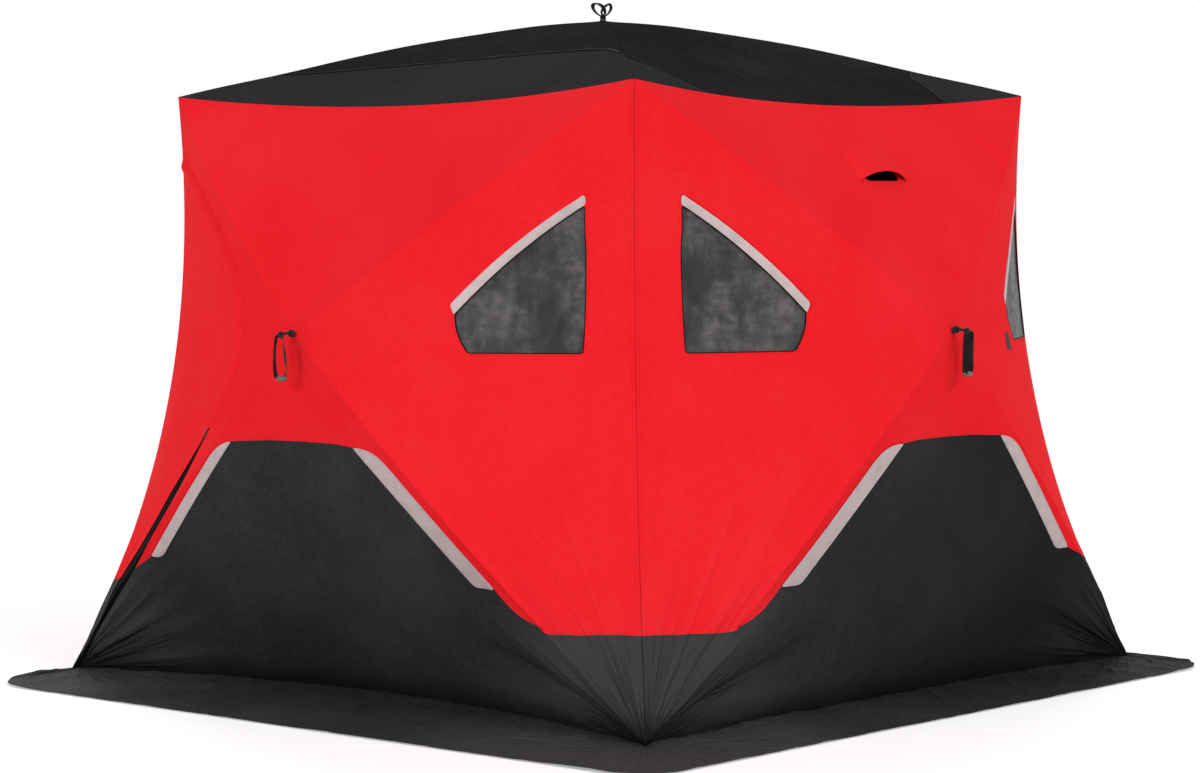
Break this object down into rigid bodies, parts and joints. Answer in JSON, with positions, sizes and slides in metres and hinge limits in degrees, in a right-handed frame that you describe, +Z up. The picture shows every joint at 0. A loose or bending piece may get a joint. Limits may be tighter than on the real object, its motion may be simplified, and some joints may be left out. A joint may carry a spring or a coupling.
{
  "type": "ice fishing hut",
  "caption": "Pop-up cloth ice fishing hut, square in plan, with hubs that hold out its walls and roof, windows, a zipped door and a ground skirt.",
  "frame": {"origin": "on the ground, at the middle of its outline with the straps out and the skirt as it lies; the roof hub stands 83 mm behind it and 55 mm to its left", "axes": "+Z up; the front wall with the door faces -Y; +X is to the right as seen from the front"},
  "size_m": [2.9372, 2.9924, 2.1023],
  "materials": {
    "red_cloth": "quilted polyester, red",
    "black_cloth": "quilted polyester, black",
    "roof_cloth": "quilted polyester, black, a little glossier",
    "skirt_cloth": "plain coated polyester, black",
    "vinyl": "smoked clear vinyl",
    "reflective_strip": "silver reflective tape",
    "pole": "fibreglass rod",
    "hub_plastic": "moulded nylon",
    "webbing": "woven webbing",
    "zip": "coil zip on woven tape"
  },
  "bodies": {
    "root": {"front_wall_upper": "red_cloth", "front_wall_lower": "black_cloth", "right_wall_upper": "red_cloth", "right_wall_lower": "black_cloth", "back_wall_upper": "red_cloth", "back_wall_lower": "black_cloth", "left_wall_upper": "red_cloth", "left_wall_lower": "black_cloth", "roof_front": "roof_cloth", "roof_right": "roof_cloth", "roof_back": "roof_cloth", "roof_left": "roof_cloth", "skirt_front": "skirt_cloth", "skirt_right": "skirt_cloth", "skirt_back": "skirt_cloth", "skirt_left": "skirt_cloth", "door_flap": "red_cloth", "door_flap_foot": "black_cloth", "door_zip": "zip", "front_window": "vinyl", "right_windows": "vinyl", "back_windows": "vinyl", "left_windows": "vinyl", "front_strips": "reflective_strip", "right_strips": "reflective_strip", "back_strips": "reflective_strip", "left_strips": "reflective_strip", "front_poles": "pole", "right_poles": "pole", "back_poles": "pole", "left_poles": "pole", "roof_poles": "pole", "front_hub": "hub_plastic", "right_hub": "hub_plastic", "back_hub": "hub_plastic", "left_hub": "hub_plastic", "roof_hub": "hub_plastic", "front_strap": "webbing", "right_strap": "webbing", "back_strap": "webbing", "left_strap": "webbing", "roof_strap": "webbing", "roof_corner_blocks": "hub_plastic", "base_corner_blocks": "hub_plastic", "vent_hoods": "red_cloth", "pull_tab": "webbing"}
  },
  "joints": []
}
